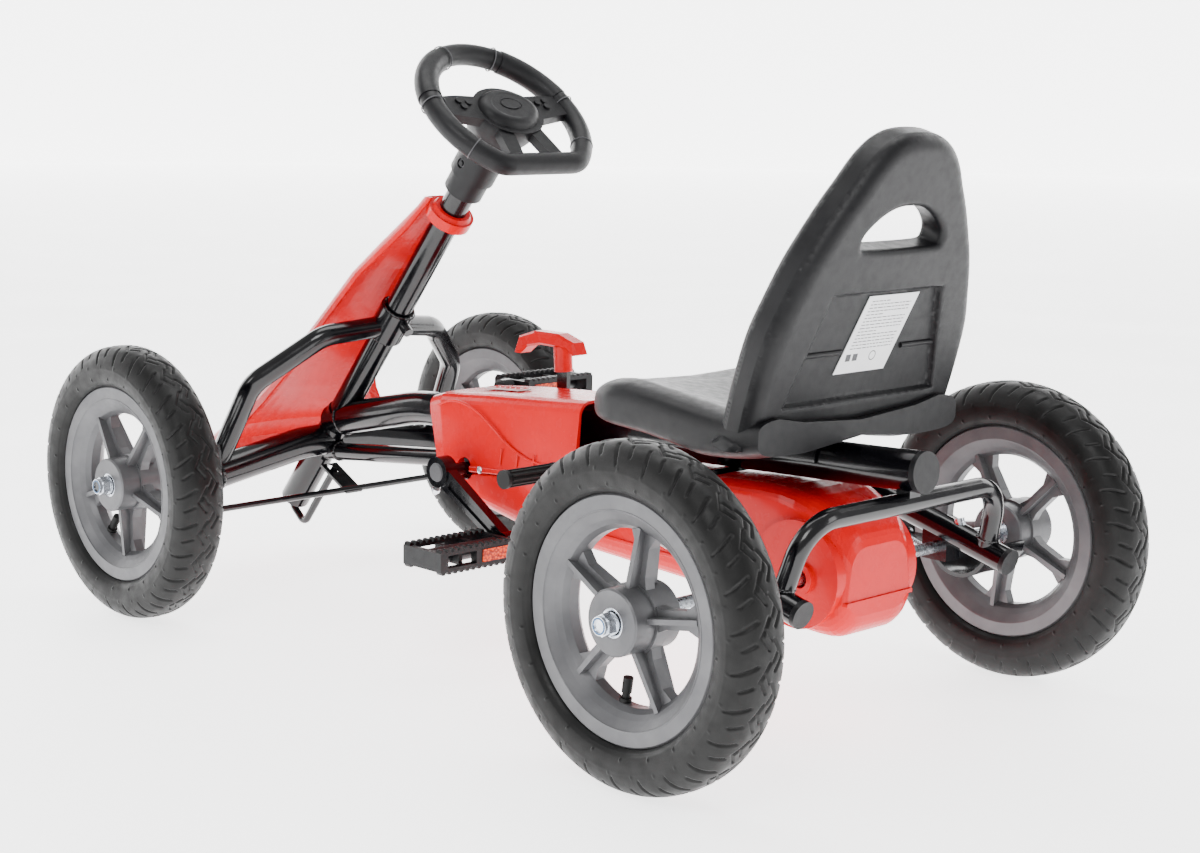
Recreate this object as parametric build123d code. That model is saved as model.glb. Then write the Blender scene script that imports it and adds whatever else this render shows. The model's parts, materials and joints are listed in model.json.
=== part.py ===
from build123d import *
import os
from math import sin, cos, tan, radians, degrees, atan2, pi, hypot

# Pedal go kart.  Millimetres.  +X forward, +Y to the driver's left, +Z up.
# Origin on the floor, midway between the axles, on the centre line.

os.makedirs("parts", exist_ok=True)

# ---- driving dimensions -------------------------------------------------
AXLE_X = 405.0            # front and rear axle distance from the origin
WHEEL_Y = 279.0           # wheel centre plane
TYRE_R = 156.0
TYRE_W = 60.0
FLANGE_R = 111.0
RIM_HALF = 22.0
SEAT_R = 101.5            # bead seat radius
HUB_R = 30.0
AXLE_R = 6.0
RUN = 0.05                # radial running clearance
SPOKES = 5
SPOKE_PHASE = {"front_left": 54, "front_right": 40, "rear_left": 27, "rear_right": 62}

COL_TOP = (176.0, 0.0, 463.0)
COL_DIR = (0.629, 0.0, -0.777)
COL_R = 16.0
HOUSING_R = 18.0
COL_END = 478.0
CRANK_OFF = 34.0          # steering crank throw

BACK_R = 19.5
KING_Y = 205.0
ARM = 44.0                # steering arm length
TIE_Z = 119.0

CRANK_X, CRANK_Z = 80.0, 192.0
CRANK_LEN = 122.0
CRANK_ANGLE = 30.3        # right arm above forward
ARM_Y = 86.0              # inner face of the crank arms
PEDAL_L = 104.0
CHAIN_Y = -40.0
RING_R, RING_T = 26.3, 13
SPROCKET_R, SPROCKET_T = 28.3, 14


def save(name, *shapes):
    solids = []
    for s in shapes:
        solids += list(s.solids())
    body = solids[0] if len(solids) == 1 else Compound(children=solids)
    export_step(body, "parts/" + name + ".step")


def rod(p, q, r):
    a, b = Vector(*p), Vector(*q)
    return Solid.make_cylinder(r, (b - a).length, Plane(origin=a, z_dir=b - a))


def ring(p, q, r, hole):
    a, b = Vector(*p), Vector(*q)
    d = (b - a).normalized()
    return rod(p, q, r) - rod(tuple(a - d), tuple(b + d), hole)


def block(x0, x1, y0, y1, z0, z1):
    box = Box(x1 - x0, y1 - y0, z1 - z0)
    return Pos((x0 + x1) / 2, (y0 + y1) / 2, (z0 + z1) / 2) * box


def flip(shape):
    return mirror(shape, about=Plane.XZ)


def bent_path(points, bend):
    pts = [Vector(*p) for p in points]
    edges = []
    start = pts[0]
    for i in range(1, len(pts) - 1):
        u = (pts[i - 1] - pts[i]).normalized()
        v = (pts[i + 1] - pts[i]).normalized()
        half = radians(u.get_angle(v) / 2)
        a = pts[i] + u * (bend / tan(half))
        b = pts[i] + v * (bend / tan(half))
        m = pts[i] + (u + v).normalized() * (bend / sin(half) - bend)
        edges.append(Edge.make_line(start, a))
        edges.append(Edge.make_three_point_arc(a, m, b))
        start = b
    edges.append(Edge.make_line(start, pts[-1]))
    return Wire(edges)


def tube(points, r, wall, bend):
    line = bent_path(points, bend)
    plane = Plane(origin=points[0], z_dir=Vector(*points[1]) - Vector(*points[0]))
    outer = sweep(plane * Circle(r), path=line)
    if wall == 0:
        return outer
    return outer - sweep(plane * Circle(r - wall), path=line)


def col(s, off=0.0, y=0.0):
    # point at distance s down the steering column, off below-behind it
    x = COL_TOP[0] + COL_DIR[0] * s - 0.777 * off
    z = COL_TOP[2] + COL_DIR[2] * s - 0.629 * off
    return (x, y, z)


def back_z(x):
    # centre height of the backbone tube
    return 236.0 + (230.0 - x) * 27.0 / 728.0


def rail_at(x, side):
    # point on the centre line of a rear side rail
    return (x, 156.0 * side, 218.9 + (x + 250.0) * 64.9 / 234.0)


def shell_section(xb, zb, xt, zt, wb, wt, rb, rt, n=6):
    # planar closed section across the kart with rounded corners
    pts = []
    corners = [(wb, zb, rb, -90), (wt, zt, rt, 0), (-wt, zt, rt, 90), (-wb, zb, rb, 180)]
    for w, z, r, a0 in corners:
        cy = w - r if w > 0 else w + r
        cz = z + r if z == zb else z - r
        for k in range(n + 1):
            a = radians(a0 + 90.0 * k / n)
            y = cy + r * cos(a)
            zz = cz + r * sin(a)
            x = xb + (xt - xb) * (zz - zb) / (zt - zb)
            pts.append((x, y, zz))
    return Face(Wire.make_polygon([Vector(*p) for p in pts], close=True))


def eased(rows, n):
    # rows of numbers with n smooth steps between each pair
    out = []
    last = len(rows) - 1
    for i in range(last):
        a, b, c, d = rows[max(i - 1, 0)], rows[i], rows[i + 1], rows[min(i + 2, last)]
        for k in range(n):
            t = k / n
            out.append(tuple(q + 0.5 * t * (r - p + t * (2 * p - 5 * q + 4 * r - u + t * (3 * q - p - 3 * r + u)))
                             for p, q, r, u in zip(a, b, c, d)))
    return out + [rows[-1]]


def shell_loft(rows):
    return loft([shell_section(*row) for row in rows], ruled=True)


# ---- wheels -------------------------------------------------------------
def tyre():
    outer = []
    for k in range(13):
        a = radians(-42 + 132.0 * k / 12)
        r = 129.0 + 27.0 * sin(a)
        y = 30.0 * max(cos(a), 0.0) ** 0.72
        outer.append((r, y))
    right = [(SEAT_R, 12.0), (SEAT_R, 17.8), (FLANGE_R, 17.8), (FLANGE_R + 0.3, 22.0)]
    right += [p for p in outer if p[0] > 113 and p[1] > 0.5]
    inner = [(150.0, 0.0), (149.0, 12.0), (140.0, 22.0), (127.0, 24.0), (114.0, 14.5)]
    pts = inner + right + [(TYRE_R, 0.0)] + [(r, -y) for r, y in reversed(right)]
    pts += [(r, -y) for r, y in reversed(inner[1:])]
    face = Face(Wire.make_polygon([Vector(r, y, 0) for r, y in pts], close=True))
    return revolve(face, axis=Axis.Y)


def spoke():
    blade = [(24, 13), (40, 8.5), (66, 8.5), (84, 18), (84, -18), (66, -8.5), (40, -8.5), (24, -13)]
    face = Face(Wire.make_polygon([Vector(x, 0, z) for x, z in blade], close=True))
    web = extrude(face, amount=5.5, dir=(0, 1, 0), both=True)
    side = [(24, -18), (24, 18), (84, 13), (84, -13)]
    face = Face(Wire.make_polygon([Vector(x, y, 0) for x, y in side], close=True))
    rib = extrude(face, amount=2.4, dir=(0, 0, 1), both=True)
    return web + rib


def rim(bore, phase):
    half = [(79.0, 0.0), (79.0, 5.5), (83.0, 11.0), (88.0, 15.5), (95.5, RIM_HALF - 0.8),
            (97.0, RIM_HALF), (109.5, RIM_HALF), (FLANGE_R, RIM_HALF - 1.5),
            (FLANGE_R, 18.0), (SEAT_R, 18.0), (SEAT_R, 11.0), (91.0, 7.5)]
    pts = half + [(r, -y) for r, y in reversed(half[1:])]
    face = Face(Wire.make_polygon([Vector(r, y, 0) for r, y in pts], close=True))
    body = revolve(face, axis=Axis.Y)
    hub = rod((0, -26, 0), (0, 31, 0), HUB_R)
    hub = chamfer(hub.edges().filter_by(GeomType.CIRCLE), 1.6)
    hub += rod((0, -7, 0), (0, 7, 0), HUB_R + 2)
    for k in range(SPOKES):
        body += Rot(0, -(phase + 72.0 * k), 0) * spoke()
    body += hub
    body -= rod((0, 27.5, 0), (0, 32, 0), 13.5)
    body -= rod((0, -27, 0), (0, -22.5, 0), 13.5)
    return body - rod((0, -40, 0), (0, 40, 0), bore)


def valve(phase):
    a = radians(phase)
    d = Vector(cos(a), 0, sin(a))
    stem = rod(tuple(d * 79.5), tuple(d * 62), 3.6)
    cap = rod(tuple(d * 70), tuple(d * 56), 4.6)
    foot = rod(tuple(d * 79.5), tuple(d * 75), 5.6)
    return stem + cap + foot


def wheel(name, sx, sy, bore):
    phase = SPOKE_PHASE[name]
    place = Pos(AXLE_X * sx, WHEEL_Y * sy, TYRE_R)
    parts = {"tyre": tyre(), "rim": rim(bore, phase), "valve": valve(phase - 108 + 360)}
    parts["valve"] -= parts["rim"]
    for key, shape in parts.items():
        if sy < 0:
            shape = flip(shape)
        save(key + "_" + name, place * shape)


def wheels():
    wheel("front_left", 1, 1, AXLE_R + RUN)
    wheel("front_right", 1, -1, AXLE_R + RUN)
    wheel("rear_left", -1, 1, AXLE_R + RUN)
    wheel("rear_right", -1, -1, AXLE_R)


def nut(y0, x):
    flat = extrude(Plane(origin=(x, y0, TYRE_R), z_dir=(0, 1, 0)) * RegularPolygon(10.5, 6), amount=9)
    washer = rod((x, y0 - 2.0, TYRE_R), (x, y0, TYRE_R), 10.0)
    collar = rod((x, y0 + 9, TYRE_R), (x, y0 + 13, TYRE_R), 8.4)
    return flat + washer + collar - rod((x, y0 - 5, TYRE_R), (x, y0 + 20, TYRE_R), AXLE_R)


# ---- frame --------------------------------------------------------------
def column_cut(r, s0=-60.0, s1=COL_END + 20):
    return rod(col(s0), col(s1), r)


def backbone():
    ends = [(396, 0, back_z(230) - 36.5), (230, 0, back_z(230)), (-494, 0, back_z(-494))]
    body = tube(ends, BACK_R, 2.2, 260)
    return body - column_cut(HOUSING_R)


def column():
    upper = rod(col(-34), col(330), COL_R)
    lower = rod(col(322), col(COL_END), HOUSING_R)
    return upper + lower - rod(col(-40), col(COL_END + 5), COL_R - 2.2)


def bushings():
    top = ring(col(-33.5), col(-12), COL_R - 2.2, 8 + RUN)
    low = ring(col(455), col(COL_END - 0.5), COL_R - 2.2, 8 + RUN)
    return [top, low]


BEAM = [(AXLE_X, 0, 176), (AXLE_X, 45, 174), (AXLE_X, KING_Y - 35, 152)]


def axle_beam():
    beam = tube(BEAM, BACK_R, 2.5, 120)
    beam -= column_cut(HOUSING_R)
    beam -= block(350, 460, -10, 6, 100, 230)
    x0, x1 = AXLE_X - 18, AXLE_X + 18
    plate = block(x0, x1, KING_Y - 35, KING_Y - 31, 114, 190)
    top = block(x0, x1, KING_Y - 33, KING_Y + 14, 186, 190)
    low = block(x0, x1, KING_Y - 33, KING_Y + 14, 114, 118)
    bracket = plate + top + low
    bracket -= rod((AXLE_X, KING_Y, 100), (AXLE_X, KING_Y, 200), 5.0)
    return beam + bracket


def kingpin():
    shank = rod((AXLE_X, KING_Y, 108), (AXLE_X, KING_Y, 190), 5.0)
    head = extrude(Plane(origin=(AXLE_X, KING_Y, 190)) * RegularPolygon(9, 6), amount=6)
    foot = extrude(Plane(origin=(AXLE_X, KING_Y, 107)) * RegularPolygon(9, 6), amount=7)
    return shank + head + foot


def arch():
    clamp = ring(col(148), col(190), 21, COL_R)
    bolt = rod(col(158, 28, -6), col(158, 28, 6), 3)
    ear = rod(col(158, 15, 0), col(158, 32, 0), 6) - column_cut(COL_R)
    pts = [(404, 163, 166), (352, 151, 262), (306, 82, 318), (286, 0, 327)]
    leg = tube(pts, 12.5, 2.0, 46)
    leg -= rod(col(100), col(260), 20.9)
    leg -= tube(BEAM, BACK_R, 0, 120)
    leg -= block(350, 460, 100, 200, 60, 160)
    leg -= block(380, 430, KING_Y - 35, KING_Y + 20, 100, 190)
    leg = leg.solids().sort_by(SortBy.VOLUME)[-1]
    return clamp + ear + bolt + leg + flip(leg)


def lower_tube():
    body = ring((430, 0, 157.5), (CRANK_X - 2, 0, 193), 10.5, 8.5)
    body -= column_cut(HOUSING_R)
    body -= tube(BEAM, BACK_R, 0, 120)
    body -= flip(tube(BEAM, BACK_R, 0, 120))
    body -= rod((CRANK_X, -60, CRANK_Z), (CRANK_X, 60, CRANK_Z), 19)
    return body.solids().sort_by(SortBy.VOLUME)[-1]


def bottom_bracket():
    shell = ring((CRANK_X, -30, CRANK_Z), (CRANK_X, 30, CRANK_Z), 19, 7 + RUN)
    hanger = block(CRANK_X - 16, CRANK_X + 16, -8, 8, CRANK_Z + 12, 232)
    hanger -= rod((CRANK_X, -60, CRANK_Z), (CRANK_X, 60, CRANK_Z), 12)
    hanger -= rod((230, 0, back_z(230)), (-300, 0, back_z(-300)), BACK_R)
    return shell + hanger


def rail(z_off=0.0):
    body = ring(rail_at(-250, 1), rail_at(-484, 1), 13, 11)
    body -= rod((-262, 100, 223), (-262, 200, 223), 12)
    cut = rod((-AXLE_X, 100, TYRE_R), (-AXLE_X, 200, TYRE_R), AXLE_R + 0.6)
    return body - cut


def cross_tube():
    body = ring((-262, -166, 223), (-262, 166, 223), 12, 10)
    return body - rod((230, 0, back_z(230)), (-498, 0, back_z(-498)), BACK_R)


def bumper():
    pts = [(-462, 154, 166), (-480, 144, 232), (-480, -144, 232), (-462, -154, 166)]
    body = tube(pts, 10, 1.8, 42)
    tab = block(-488, -472, -8, 8, 238, 250)
    body += tab - rod((-465, 0, 232), (-495, 0, 232), 1)
    body -= rod((230, 0, back_z(230)), (-498, 0, back_z(-498)), BACK_R)
    for s in (1, -1):
        body -= rod(rail_at(-240, s), rail_at(-520, s), 13)
    return body.solids().sort_by(SortBy.VOLUME)[-1]


def end_caps():
    face = (-494, 0, back_z(-494))
    items = [rod(face, (-500, 0, back_z(-500)), BACK_R + 0.4)]
    items[0] += rod(face, (-476, 0, back_z(-476)), BACK_R - 2.25)
    for s in (1, -1):
        items.append(rod(rail_at(-484, s), rail_at(-489, s), 13.3)
                     + rod(rail_at(-484, s), rail_at(-470, s), 10.95))
    return items


def bearing_blocks():
    items = []
    for s in (1, -1):
        b = block(-AXLE_X - 15, -AXLE_X + 15, 156 * s - 11, 156 * s + 11, 143, 172)
        b -= rod(rail_at(-240, s), rail_at(-520, s), 13)
        b -= rod((-AXLE_X, 120 * s, TYRE_R), (-AXLE_X, 190 * s, TYRE_R), AXLE_R + RUN)
        items.append(b.solids().sort_by(SortBy.VOLUME)[-1])
    return items


def frame_bolts():
    items = []
    for s in (1, -1):
        for x, z in ((-428, 181.6), (-385, 193.6)):
            p = (x, 156 * s, z - 1.6)
            q = (x + 2.2, 156 * s, z + 5.5)
            items.append(rod(p, q, 5.5) - rod(rail_at(-240, s), rail_at(-520, s), 13.01))
    return items


def foot_pegs():
    bar = rod((-127, -186, 225), (-127, 186, 225), 4.6)
    grips = []
    for s in (1, -1):
        g = rod((-127, 120 * s, 225), (-127, 184 * s, 225), 8.0)
        for k in range(12):
            a = radians(30 * k)
            dx, dz = 8.2 * cos(a), 8.2 * sin(a)
            g += rod((-127 + dx, 123 * s, 225 + dz), (-127 + dx, 181 * s, 225 + dz), 1.1)
        g += rod((-127, 184 * s, 225), (-127, 187.5 * s, 225), 9.6)
        g += rod((-127, 118 * s, 225), (-127, 121 * s, 225), 9.6)
        grips.append(g - rod((-127, -186, 225), (-127, 186, 225), 4.6))
    return bar, grips


# ---- drive --------------------------------------------------------------
def disc(x, z, pitch_r, teeth, y, hub_r, bore):
    step = 2 * pi / teeth
    pts = []
    for k in range(teeth):
        for f, r in ((-0.30, pitch_r - 5.2), (-0.12, pitch_r - 2.8), (0.12, pitch_r - 2.8), (0.30, pitch_r - 5.2)):
            a = (k + f) * step
            pts.append(Vector(x + r * cos(a), y - 1.5, z + r * sin(a)))
    plate = extrude(Face(Wire.make_polygon(pts, close=True)), amount=3, dir=(0, 1, 0))
    plate += rod((x, y - 6, z), (x, y + 6, z), hub_r)
    return plate - rod((x, y - 20, z), (x, y + 20, z), bore)


def loop_points(off, n=16):
    # belt line around the two sprockets, off outside the pitch line
    x1, z1, r1 = CRANK_X, CRANK_Z, RING_R + off
    x2, z2, r2 = -AXLE_X, TYRE_R, SPROCKET_R + off
    base = atan2(z1 - z2, x1 - x2)
    dist = hypot(x1 - x2, z1 - z2)
    lean = pi / 2 - (r1 - r2) / dist
    pts = []
    for k in range(n + 1):
        a = base - lean + 2 * lean * k / n
        pts.append((x1 + r1 * cos(a), z1 + r1 * sin(a)))
    for k in range(n + 1):
        a = base + lean + (2 * pi - 2 * lean) * k / n
        pts.append((x2 + r2 * cos(a), z2 + r2 * sin(a)))
    return pts


def chain():
    def plate(y0):
        out = Face(Wire.make_polygon([Vector(x, y0, z) for x, z in loop_points(4.0)], close=True))
        inn = Face(Wire.make_polygon([Vector(x, y0, z) for x, z in loop_points(-4.0)], close=True))
        return extrude(out, amount=1.4, dir=(0, 1, 0)) - extrude(inn, amount=1.4, dir=(0, 1, 0))
    body = plate(CHAIN_Y - 4.4) + plate(CHAIN_Y + 3.0)
    pts = loop_points(0.0)
    pts.append(pts[0])
    left = 0.0
    for (xa, za), (xb, zb) in zip(pts, pts[1:]):
        seg = hypot(xb - xa, zb - za)
        while left < seg:
            x = xa + (xb - xa) * left / seg
            z = za + (zb - za) * left / seg
            body += rod((x, CHAIN_Y - 3.6, z), (x, CHAIN_Y + 3.6, z), 2.2)
            left += 12.7
        left -= seg
    return body


def crank_end(side):
    a = radians(CRANK_ANGLE) if side < 0 else radians(CRANK_ANGLE + 180)
    return CRANK_X + CRANK_LEN * cos(a), CRANK_Z + CRANK_LEN * sin(a)


def crank_arms():
    body = rod((CRANK_X, -100, CRANK_Z), (CRANK_X, 100, CRANK_Z), 7)
    for s in (1, -1):
        xe, ze = crank_end(s)
        arm_dir = Vector(xe - CRANK_X, 0, ze - CRANK_Z).normalized()
        y0 = ARM_Y if s > 0 else -ARM_Y - 12
        side = Vector(-arm_dir.Z, 0, arm_dir.X)
        c, e = Vector(CRANK_X, y0, CRANK_Z), Vector(xe, y0, ze)
        pts = [c + side * 12, e + side * 9, e - side * 9, c - side * 12]
        bar = extrude(Face(Wire.make_polygon(pts, close=True)), amount=12, dir=(0, 1, 0))
        bar += rod((CRANK_X, y0 - 2, CRANK_Z), (CRANK_X, y0 + 14, CRANK_Z), 17)
        bar += rod((xe, y0 - 1, ze), (xe, y0 + 13, ze), 12)
        groove = [c + side * 5 + arm_dir * 22, e + side * 4 - arm_dir * 16,
                  e - side * 4 - arm_dir * 16, c - side * 5 + arm_dir * 22]
        face = Face(Wire.make_polygon(groove, close=True))
        shift = 9.5 if s > 0 else -1
        bar -= Pos(0, shift, 0) * extrude(face, amount=3.5, dir=(0, 1, 0))
        cotter = c + side * 15 + arm_dir * 2
        bar += rod((cotter.X, y0 + 6, cotter.Z), (cotter.X + side.X * 8, y0 + 6, cotter.Z + side.Z * 8), 4)
        body += bar
        out = y0 + 12 if s > 0 else y0
        body += rod((xe, out, ze), (xe, out + s * (PEDAL_L - 4), ze), 5)
        body += rod((xe, out, ze), (xe, out + s * 4, ze), 8)
    return body


def pedal(s):
    xe, ze = crank_end(s)
    y0 = (ARM_Y + 12) * s + 5.0 * s
    length = PEDAL_L * s
    lo, hi = sorted((y0, y0 + length))
    body = rod((xe, lo, ze), (xe, hi, ze), 9)
    for sx in (1, -1):
        xs = sorted((xe + sx * 21, xe + sx * 30))
        body += block(xs[0], xs[1], lo, hi, ze - 10, ze + 10)
        n = 13
        for k in range(n):
            y = lo + (hi - lo) * (k + 0.5) / n
            for sz in (1, -1):
                pts = [(y - 3.4, ze + sz * 9.5), (y + 3.4, ze + sz * 9.5), (y + 1.4, ze + sz * 13), (y - 1.4, ze + sz * 13)]
                face = Face(Wire.make_polygon([Vector(xs[0], a, b) for a, b in pts], close=True))
                body += extrude(face, amount=9, dir=(1, 0, 0))
        for f in (0.33, 0.66):
            y = lo + (hi - lo) * f
            body += block(min(xe, xe + sx * 22), max(xe, xe + sx * 22), y - 2.5, y + 2.5, ze - 8, ze + 8)
    for y in (lo, hi - 6):
        body += block(xe - 30, xe + 30, y, y + 6, ze - 10, ze + 10)
    inner = y0 + s * 10
    ya, yb = sorted((inner, inner + s * 38))
    refl = []
    for sx in (1, -1):
        xs = sorted((xe + sx * 27.5, xe + sx * 31))
        lens = block(xs[0], xs[1], ya, yb, ze - 6.5, ze + 6.5)
        body -= lens
        refl.append(lens)
        win = sorted((inner + s * 46, inner + s * 84))
        body -= block(min(xe + sx * 19, xe + sx * 32), max(xe + sx * 19, xe + sx * 32), win[0], win[1], ze - 6.5, ze + 6.5)
    body -= rod((xe, lo - 5, ze), (xe, hi - 3 if s > 0 else hi + 5, ze), 5 + RUN)
    if s < 0:
        body += rod((xe, lo, ze), (xe, lo + 3, ze), 9)
    return body, refl


def rear_axle():
    return rod((-AXLE_X, -324, TYRE_R), (-AXLE_X, 324, TYRE_R), AXLE_R)


def rear_spacers():
    x, z = -AXLE_X, TYRE_R
    items = []
    for s in (1, -1):
        items.append(ring((x, 168.0 * s, z), (x, 252.5 * s if s > 0 else 253.0 * s, z), 9, AXLE_R))
    return items


# ---- covers -------------------------------------------------------------
def guard_front():
    outer = shell_loft([
        (135, 184, 168, 251, 48, 40, 10, 12), (128, 182, 158, 262, 56, 48, 8, 14),
        (112, 184, 134, 269, 60, 53, 6, 16), (69, 190, 60, 275.5, 61, 54, 6, 16),
        (-38, 198, -34, 281, 61, 54, 6, 16), (-95, 206, -95, 285.5, 61, 54, 6, 16)])
    inner = shell_loft([
        (124, 160, 157, 250, 50, 42, 6, 11), (110, 160, 132, 266, 57, 50, 4, 13),
        (69, 160, 60, 272.5, 58, 51, 4, 13), (-38, 165, -34, 278, 58, 51, 4, 13),
        (-100, 170, -100, 282.5, 58, 51, 4, 13)])
    body = outer - inner
    flange = shell_loft([(69, 189.5, 69, 196, 64, 64, 2, 2), (-38, 197.5, -38, 204, 64, 64, 2, 2),
                         (-94, 205.5, -94, 212, 64, 64, 2, 2)])
    body += flange - inner
    body -= rod((400, 0, back_z(230) - 37), (230, 0, back_z(230)), BACK_R + 1.5)
    body -= rod((260, 0, back_z(260)), (-200, 0, back_z(-200)), BACK_R + 1.5)
    body -= block(104, 180, -14, 14, 150, 250)
    body -= rod((CRANK_X, -90, CRANK_Z), (CRANK_X, 90, CRANK_Z), 12)
    return body.solids().sort_by(SortBy.VOLUME)[-1]


def guard_rear():
    outer = [
        (119, 174, 119, 180, 44, 44, 2, 2), (98, 156, 98, 183, 56, 58, 12, 2),
        (57, 149, 57, 189, 58, 60, 18, 2), (-5, 137, -5, 193, 59, 60, 20, 2),
        (-96, 130, -96, 203, 59, 60, 22, 3), (-97, 130, -97, 229, 59, 59, 22, 9),
        (-264, 121, -264, 233, 60, 58, 24, 12), (-370, 104, -370, 237, 58, 56, 24, 14),
        (-425, 99, -425, 222, 56, 52, 26, 22), (-444, 108, -444, 204, 53, 48, 26, 26),
        (-450, 122, -450, 188, 46, 42, 22, 22)]
    outer = shell_loft(outer[:6] + eased(outer[6:], 4))
    inner = [
        (114, 175, 114, 220, 41, 41, 3, 1), (96, 159, 96, 220, 53, 55, 10, 1),
        (57, 152, 57, 220, 55, 57, 16, 1), (-5, 140, -5, 220, 56, 57, 18, 1),
        (-97, 133, -97, 222, 56, 57, 19, 2), (-100, 133, -100, 226, 56, 56, 19, 7),
        (-264, 124, -264, 230, 57, 55, 21, 10), (-370, 107, -370, 234, 55, 53, 21, 12),
        (-424, 102, -424, 219, 53, 49, 23, 20), (-441, 111, -441, 201, 50, 45, 23, 23),
        (-447, 126, -447, 184, 42, 38, 20, 20)]
    inner = shell_loft(inner[:6] + eased(inner[6:], 4))
    seam = shell_loft([(-140, 150, -140, 154, 61.5, 61.5, 1, 1), (-300, 144, -300, 148, 61.5, 61.5, 1, 1),
                       (-420, 136, -420, 140, 58.5, 58.5, 1, 1), (-452, 134, -452, 138, 49, 49, 1, 1)])
    bulge = rod((-396, -59.5, 158), (-396, 59.5, 158), 52)
    hollow = rod((-396, -56.5, 158), (-396, 56.5, 158), 49)
    body = outer + bulge + seam
    for s in (1, -1):
        body += rod((-AXLE_X, 50 * s, TYRE_R), (-AXLE_X, 64 * s, TYRE_R), 15)
    body -= inner
    body -= hollow
    body -= rod((-AXLE_X, -80, TYRE_R), (-AXLE_X, 80, TYRE_R), 9)
    body -= rod((CRANK_X, -90, CRANK_Z), (CRANK_X, 90, CRANK_Z), 13)
    body -= block(-278, -246, -70, 70, 207, 245)
    body -= block(-136, -118, -70, 70, 217, 245)
    body -= block(-92, 105, -55, 55, 180, 225)
    body -= rod((430, 0, 157.5), (CRANK_X - 2, 0, 193), 12)
    body -= rod((CRANK_X, -31, CRANK_Z), (CRANK_X, 31, CRANK_Z), 20)
    body -= rod((230, 0, back_z(230)), (-498, 0, back_z(-498)), BACK_R + 0.3)
    return body.solids().sort_by(SortBy.VOLUME)[-1]


def guard_badge():
    plate = Box(60, 22, 1.2)
    plate = chamfer(plate.edges().filter_by(Axis.Z), 3)
    return Pos(70, 6, 276.6) * Rot(0, 3.4, 0) * plate - guard_front()


FAIR = [(482, 208, 184, 22), (470, 220, 192, 27), (447, 252, 214, 32), (424, 282, 241, 38), (389, 324, 286, 45),
        (340, 372, 334, 51), (299, 415, 373, 56), (262, 450, 402, 66), (231, 479, 420, 84),
        (205, 506, 432, 104), (182, 530, 446, 124), (162, 545, 456, 134), (142, 546, 460, 134),
        (127, 534, 462, 124)]


def fairing_points(z, xf, xr, w, inset, n=10):
    xf, w = xf - inset, w - inset
    pts = []
    for k in range(-n, n + 1):
        a = radians(90.0 * k / n)
        y = w * sin(a)
        x = xr + (xf - xr) * abs(cos(a)) ** 0.82
        pts.append((x, y))
    return pts


def fairing_face(z, xf, xr, w, inset, back):
    pts = fairing_points(z, xf, xr, w, inset)
    pts = [(xr - back, pts[0][1])] + pts + [(xr - back, pts[-1][1])]
    return Face(Wire.make_polygon([Vector(x, y, z) for x, y in pts], close=True))


def fairing():
    outer = loft([fairing_face(z, xf, xr, w, 0, 1.5) for z, xf, xr, w in FAIR], ruled=True)
    inner = loft([fairing_face(z, xf, xr, w, 3, 6) for z, xf, xr, w in
                  [(486, 204, 180, 22)] + FAIR + [(123, 531, 462, 122)]], ruled=True)
    body = outer - inner
    lip = loft([fairing_face(z, xf + 2, xr, w + 2.2, 0, 0) for z, xf, xr, w in FAIR[-2:]], ruled=True)
    lip = lip & block(440, 560, -150, 150, 126, 133)
    body += lip - inner
    collar_out = rod(col(-4), col(8), 27)
    collar_out += loft([Plane(origin=col(-4), z_dir=(-0.629, 0, 0.777)) * Circle(24),
                        Plane(origin=col(-8), z_dir=(-0.629, 0, 0.777)) * Circle(21)])
    body += collar_out
    for s in (1, -1):
        rib = [(s * 100, 446, 205), (s * 100, 475, 205), (s * 100, 480, 170), (s * 100, 462, 160)]
        face = Face(Wire.make_polygon([Vector(x, y, z) for y, x, z in rib], close=True))
        body += extrude(face, amount=3, dir=(0, s, 0))
    body -= rod(col(-20), col(40), COL_R + 0.3)
    body -= rod(col(8), col(60), COL_R + 6)
    return body.solids().sort_by(SortBy.VOLUME)[-1]


# ---- steering -----------------------------------------------------------
def steering_shaft():
    shaft = rod(col(-124), col(472), 8.0)
    pts = [col(466), col(490), col(490, CRANK_OFF), col(384, CRANK_OFF)]
    crank = tube(pts, 4.5, 0, 9)
    return shaft + crank


def wheel_plane(h=0.0):
    n = Vector(-0.668, 0, 0.744)
    o = Vector(84, 0, 577) + n * h
    return Plane(origin=o, x_dir=(0, -1, 0), z_dir=n)


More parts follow.
